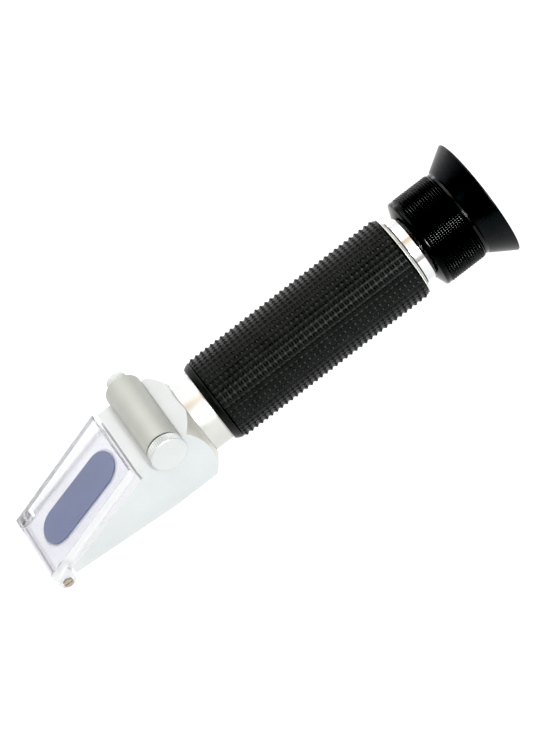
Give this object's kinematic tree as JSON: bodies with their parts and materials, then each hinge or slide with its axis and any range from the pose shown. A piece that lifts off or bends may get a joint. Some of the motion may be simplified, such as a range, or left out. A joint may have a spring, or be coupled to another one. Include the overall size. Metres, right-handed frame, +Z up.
{
  "type": "hand-held refractometer",
  "caption": "Hand-held optical refractometer with clear daylight plate, cross tube with calibration knob, waffle grip, focus ring and flared eyecup.",
  "frame": {"origin": "middle of the flat underside of the head, below the cross tube's axis", "axes": "+X along the barrel to the eyepiece, +Z up, away from the underside; the calibration knob is on the -Y side"},
  "size_m": [0.1733, 0.0402, 0.04],
  "materials": {
    "head_paint": "fine satin",
    "prism_glass": "polished, blue-grey",
    "clear_acrylic": "clear, moulded",
    "sealant": "matte",
    "bronze": "dulled",
    "blasted_metal": "bead-blasted",
    "turned_metal": "turned satin",
    "polished_metal": "polished",
    "steel": "plain",
    "black_anodised": "black anodised",
    "bimetal": "rolled strip",
    "lens_glass": "polished, coated",
    "grip_rubber": "matte, waffle pattern",
    "cup_rubber": "smooth, semi-gloss"
  },
  "bodies": {
    "frame": {"head_casting": "head_paint", "prism": "prism_glass", "prism_seal": "sealant", "plate_screws": "bronze", "cross_tube": "blasted_metal", "tube_screws": "steel", "tube_bushing": "black_anodised", "end_cap": "turned_metal", "front_collar": "turned_metal", "objective_lens": "lens_glass", "objective_retainer": "black_anodised", "barrel_tube": "turned_metal", "barrel_baffle": "black_anodised", "grip_sleeve": "grip_rubber", "reticle_holder": "black_anodised", "reticle_disc": "lens_glass", "reticle_retainer": "black_anodised", "rear_tube": "polished_metal", "end_ring": "turned_metal"},
    "plate": {"daylight_plate": "clear_acrylic"},
    "calibration": {"calibration_knob": "blasted_metal", "calibration_screw": "steel"},
    "carriage": {"lens_carriage": "bronze", "bimetal_strip": "bimetal", "compensator_lens": "lens_glass"},
    "eyepiece": {"eyepiece_cell": "black_anodised", "guide_key": "steel", "field_lens": "lens_glass", "lens_spacer": "black_anodised", "eye_lens": "lens_glass", "lens_retainer": "black_anodised"},
    "focus": {"focus_ring": "black_anodised", "cell_retainer": "black_anodised", "eyecup": "cup_rubber"}
  },
  "joints": [
    {"name": "plate_hinge", "type": "hinge", "parent": "frame", "child": "plate", "pos_m": [-0.04835, 0, 0.0018], "axis": [0, -1, 0], "range_deg": [-2, 150]},
    {"name": "calibration_turn", "type": "hinge", "parent": "frame", "child": "calibration", "pos_m": [0, -0.0168, 0.02375], "axis": [0, 1, 0], "range_deg": [-180, 180]},
    {"name": "carriage_slide", "type": "slide", "parent": "frame", "child": "carriage", "axis": [0, 1, 0], "range_m": [-0.00025, 0.00025]},
    {"name": "focus_slide", "type": "slide", "parent": "frame", "child": "eyepiece", "axis": [1, 0, 0], "range_m": [-0.0015, 0.0015]},
    {"name": "focus_turn", "type": "hinge", "parent": "eyepiece", "child": "focus", "pos_m": [0.105, 0, 0.0111], "axis": [1, 0, 0], "range_deg": [-135, 135]}
  ],
  "couplings": [
    {"joint": "calibration_turn", "follows": "carriage_slide", "rad_per_m": 12566},
    {"joint": "focus_turn", "follows": "focus_slide", "rad_per_m": 1570.7}
  ]
}
